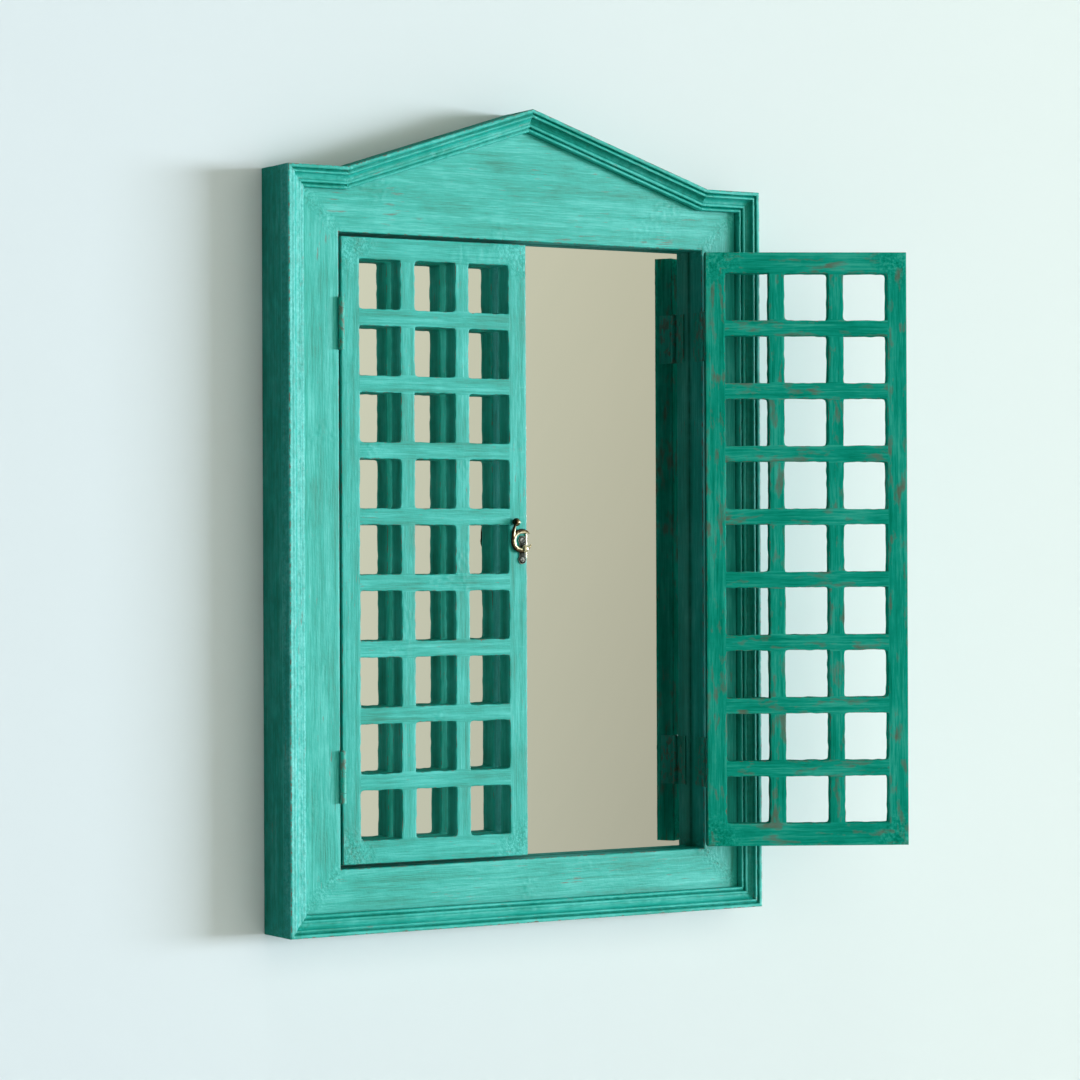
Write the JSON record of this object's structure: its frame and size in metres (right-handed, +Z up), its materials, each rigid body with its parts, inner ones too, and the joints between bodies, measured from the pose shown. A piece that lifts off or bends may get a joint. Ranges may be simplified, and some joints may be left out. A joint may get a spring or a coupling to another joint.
{
  "type": "window mirror",
  "caption": "Wall mirror framed as a window: moulded wooden frame with a low pediment and shutter-like lattice doors on butt hinges, closed by a small swing hook.",
  "frame": {"origin": "midway between the middles of the two hanging holes, in the plane of the wall", "axes": "+X to the viewer's right, +Y into the wall, +Z up"},
  "size_m": [0.5035, 0.1245, 0.61],
  "materials": {
    "painted_frame": "brushed-on distressed paint, satin",
    "painted_moulding": "brushed-on distressed paint, satin, rubbed along the arrises",
    "painted_lattice": "thick distressed paint, satin",
    "painted_hinge": "painted over with the wood",
    "silvered_glass": "polished",
    "hardboard": "raw hardboard",
    "aged_brass": "antiqued, brighter on the edges",
    "zinc_plated_steel": "zinc plated",
    "bright_steel": "bright drawn wire"
  },
  "bodies": {
    "frame": {"left_stile": "painted_frame", "right_stile": "painted_frame", "bottom_rail": "painted_frame", "pediment_head": "painted_frame", "bottom_moulding": "painted_moulding", "right_moulding": "painted_moulding", "right_shoulder_moulding": "painted_moulding", "right_rake_moulding": "painted_moulding", "left_rake_moulding": "painted_moulding", "left_shoulder_moulding": "painted_moulding", "left_moulding": "painted_moulding", "mitre_nails": "bright_steel", "mirror_glass": "silvered_glass", "backing_board": "hardboard", "backing_pins": "bright_steel", "left_hanger": "zinc_plated_steel", "right_hanger": "zinc_plated_steel", "hanger_screws": "zinc_plated_steel", "left_lower_frame_leaf": "painted_hinge", "left_upper_frame_leaf": "painted_hinge", "right_lower_frame_leaf": "painted_hinge", "right_upper_frame_leaf": "painted_hinge", "left_lower_hinge_pin": "painted_hinge", "left_upper_hinge_pin": "painted_hinge", "right_lower_hinge_pin": "painted_hinge", "right_upper_hinge_pin": "painted_hinge", "frame_leaf_screws": "painted_hinge"},
    "left_door": {"left_hinge_stile": "painted_lattice", "left_meeting_stile": "painted_lattice", "left_top_rail": "painted_lattice", "left_bottom_rail": "painted_lattice", "left_upright_1": "painted_lattice", "left_upright_2": "painted_lattice", "left_cross_bars": "painted_lattice", "left_lower_door_leaf": "painted_hinge", "left_upper_door_leaf": "painted_hinge", "left_door_leaf_screws": "painted_hinge", "latch_plate": "aged_brass", "latch_screws": "aged_brass", "latch_rivet": "aged_brass"},
    "latch_hook": {"latch_hook": "aged_brass"},
    "right_door": {"right_hinge_stile": "painted_lattice", "right_meeting_stile": "painted_lattice", "right_top_rail": "painted_lattice", "right_bottom_rail": "painted_lattice", "right_upright_1": "painted_lattice", "right_upright_2": "painted_lattice", "right_cross_bars": "painted_lattice", "right_lower_door_leaf": "painted_hinge", "right_upper_door_leaf": "painted_hinge", "right_door_leaf_screws": "painted_hinge", "keeper_plate": "aged_brass", "keeper_peg": "aged_brass", "keeper_screws": "aged_brass"}
  },
  "joints": [
    {"name": "left_door_hinge", "type": "hinge", "parent": "frame", "child": "left_door", "pos_m": [-0.1591, -0.0333, -0.2], "axis": [0, 0, -1], "range_deg": [-1.1, 166.9]},
    {"name": "right_door_hinge", "type": "hinge", "parent": "frame", "child": "right_door", "pos_m": [0.1591, -0.0333, -0.2], "axis": [0, 0, 1], "range_deg": [-151, 17]},
    {"name": "latch_pivot", "type": "hinge", "parent": "left_door", "child": "latch_hook", "pos_m": [-0.00493, -0.03621, -0.21995], "axis": [0.0192, 0.9998, 0], "range_deg": [-60, 90]}
  ]
}
